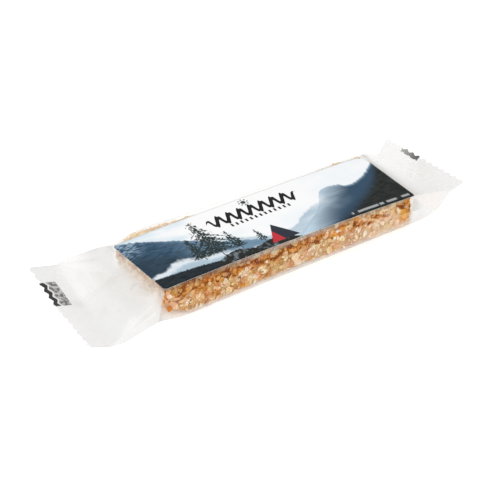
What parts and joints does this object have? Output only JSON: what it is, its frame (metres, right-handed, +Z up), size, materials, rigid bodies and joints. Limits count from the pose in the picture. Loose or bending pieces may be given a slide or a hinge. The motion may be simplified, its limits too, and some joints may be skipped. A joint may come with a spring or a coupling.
{
  "type": "wrapped granola bar",
  "caption": "Granola bar sealed in clear film, with crimped zigzag ends, a long seam underneath and a printed label on top.",
  "frame": {"origin": "on the resting face, under the middle of the bar", "axes": "+X along the bar, +Y to its back, +Z up through the label"},
  "size_m": [0.1699, 0.0526, 0.0136],
  "materials": {
    "film": "clear, slightly milky film, glossy, over a honey-coloured bar",
    "label": "printed, satin coated",
    "granola": "nuts and grains in clear syrup, lightly glossy"
  },
  "bodies": {
    "root": {"film_wrap": "film", "label": "label"}
  },
  "joints": []
}
